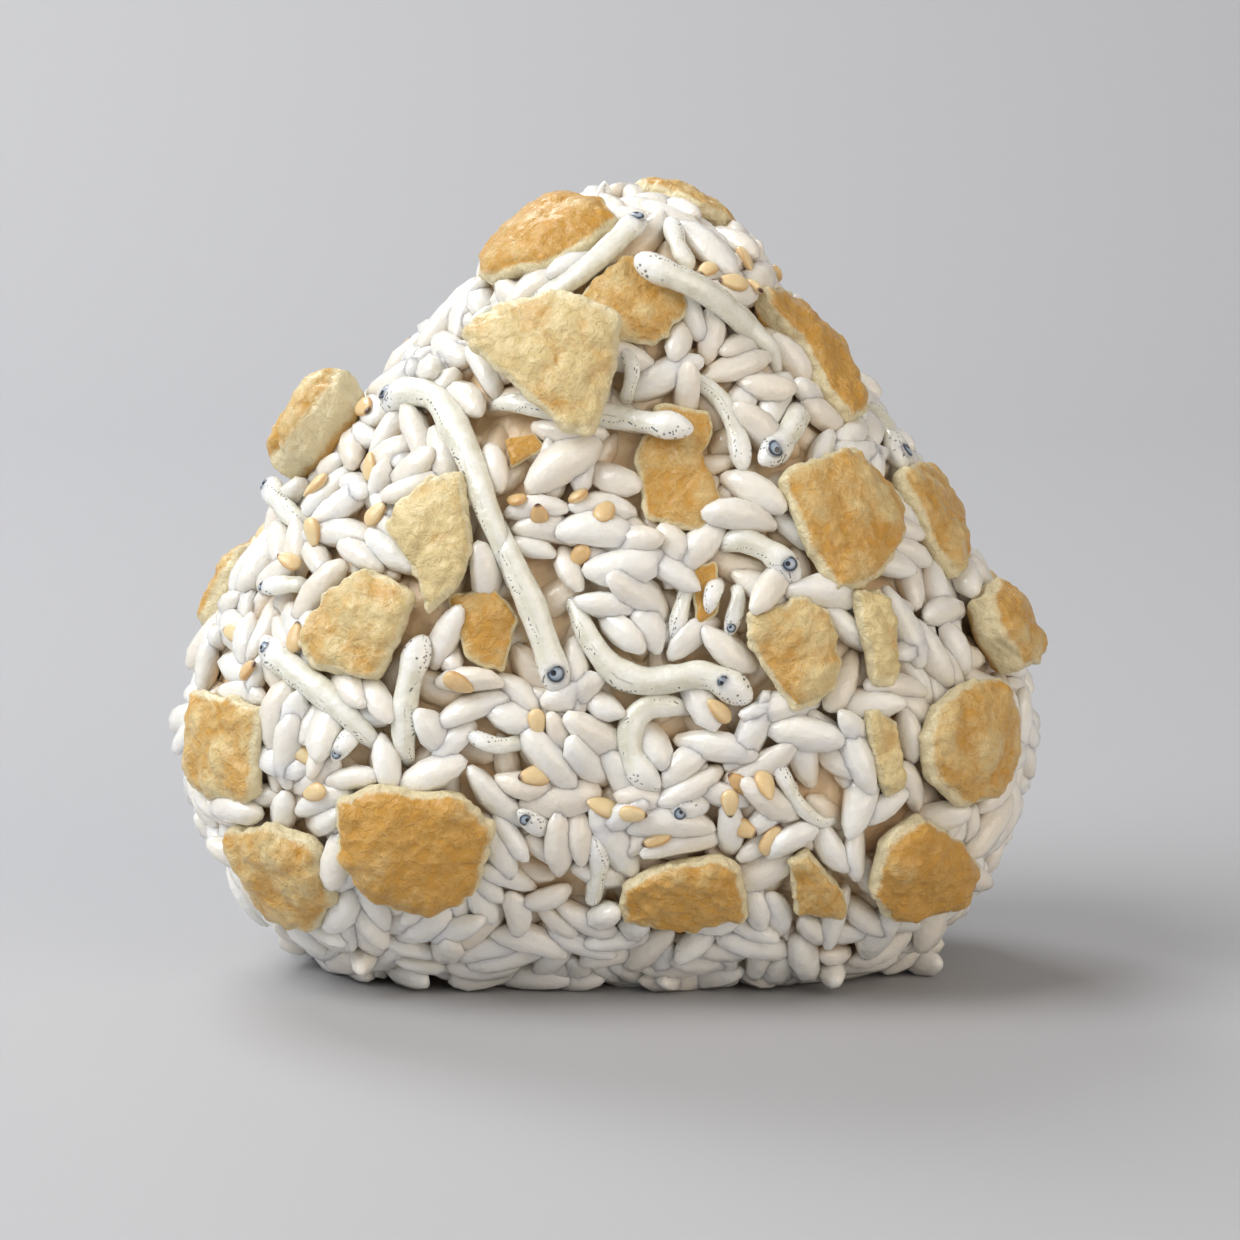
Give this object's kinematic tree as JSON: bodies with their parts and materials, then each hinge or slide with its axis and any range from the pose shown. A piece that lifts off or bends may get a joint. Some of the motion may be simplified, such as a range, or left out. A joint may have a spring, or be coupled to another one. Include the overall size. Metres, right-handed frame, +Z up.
{
  "type": "onigiri",
  "caption": "Rounded triangular rice ball, pressed by hand, with pieces of fried tofu, whitebait and sesame mixed through the rice, standing on its flat foot.",
  "frame": {"origin": "middle of the flat foot that the rice ball rests on", "axes": "+X along the width of the triangular face, to the right when that face is looked at; +Y from the front face to the back face; +Z up to the tip"},
  "size_m": [0.0757, 0.0515, 0.0696],
  "materials": {
    "rice": "cooked white rice, moist, slightly translucent; stands for food, not plastic",
    "fried_tofu": "golden fried tofu skin with pale spongy cut edges, slightly oily; stands for food, not plastic",
    "whitebait": "boiled whitebait, white and translucent, wet, with a dotted dark line and blue-silver eyes; stands for food, not plastic"
  },
  "bodies": {
    "root": {"rice": "rice", "fried_tofu_01": "fried_tofu", "fried_tofu_02": "fried_tofu", "fried_tofu_03": "fried_tofu", "fried_tofu_04": "fried_tofu", "fried_tofu_05": "fried_tofu", "fried_tofu_06": "fried_tofu", "fried_tofu_07": "fried_tofu", "fried_tofu_08": "fried_tofu", "fried_tofu_09": "fried_tofu", "fried_tofu_10": "fried_tofu", "fried_tofu_11": "fried_tofu", "fried_tofu_12": "fried_tofu", "fried_tofu_13": "fried_tofu", "fried_tofu_14": "fried_tofu", "fried_tofu_15": "fried_tofu", "fried_tofu_16": "fried_tofu", "fried_tofu_17": "fried_tofu", "fried_tofu_18": "fried_tofu", "fried_tofu_19": "fried_tofu", "fried_tofu_20": "fried_tofu", "fried_tofu_21": "fried_tofu", "fried_tofu_22": "fried_tofu", "fried_tofu_23": "fried_tofu", "fried_tofu_24": "fried_tofu", "fried_tofu_25": "fried_tofu", "fried_tofu_26": "fried_tofu", "fried_tofu_27": "fried_tofu", "fried_tofu_28": "fried_tofu", "fried_tofu_29": "fried_tofu", "fried_tofu_30": "fried_tofu", "fried_tofu_31": "fried_tofu", "fried_tofu_32": "fried_tofu", "fried_tofu_33": "fried_tofu", "fried_tofu_34": "fried_tofu", "whitebait_01": "whitebait", "whitebait_02": "whitebait", "whitebait_03": "whitebait", "whitebait_04": "whitebait", "whitebait_05": "whitebait", "whitebait_06": "whitebait", "whitebait_07": "whitebait", "whitebait_08": "whitebait", "whitebait_09": "whitebait", "whitebait_10": "whitebait", "whitebait_11": "whitebait", "whitebait_12": "whitebait", "whitebait_13": "whitebait", "whitebait_14": "whitebait", "whitebait_15": "whitebait", "whitebait_16": "whitebait", "whitebait_17": "whitebait", "whitebait_18": "whitebait", "whitebait_19": "whitebait", "whitebait_20": "whitebait", "whitebait_21": "whitebait", "whitebait_22": "whitebait", "whitebait_23": "whitebait", "whitebait_24": "whitebait"}
  },
  "joints": []
}
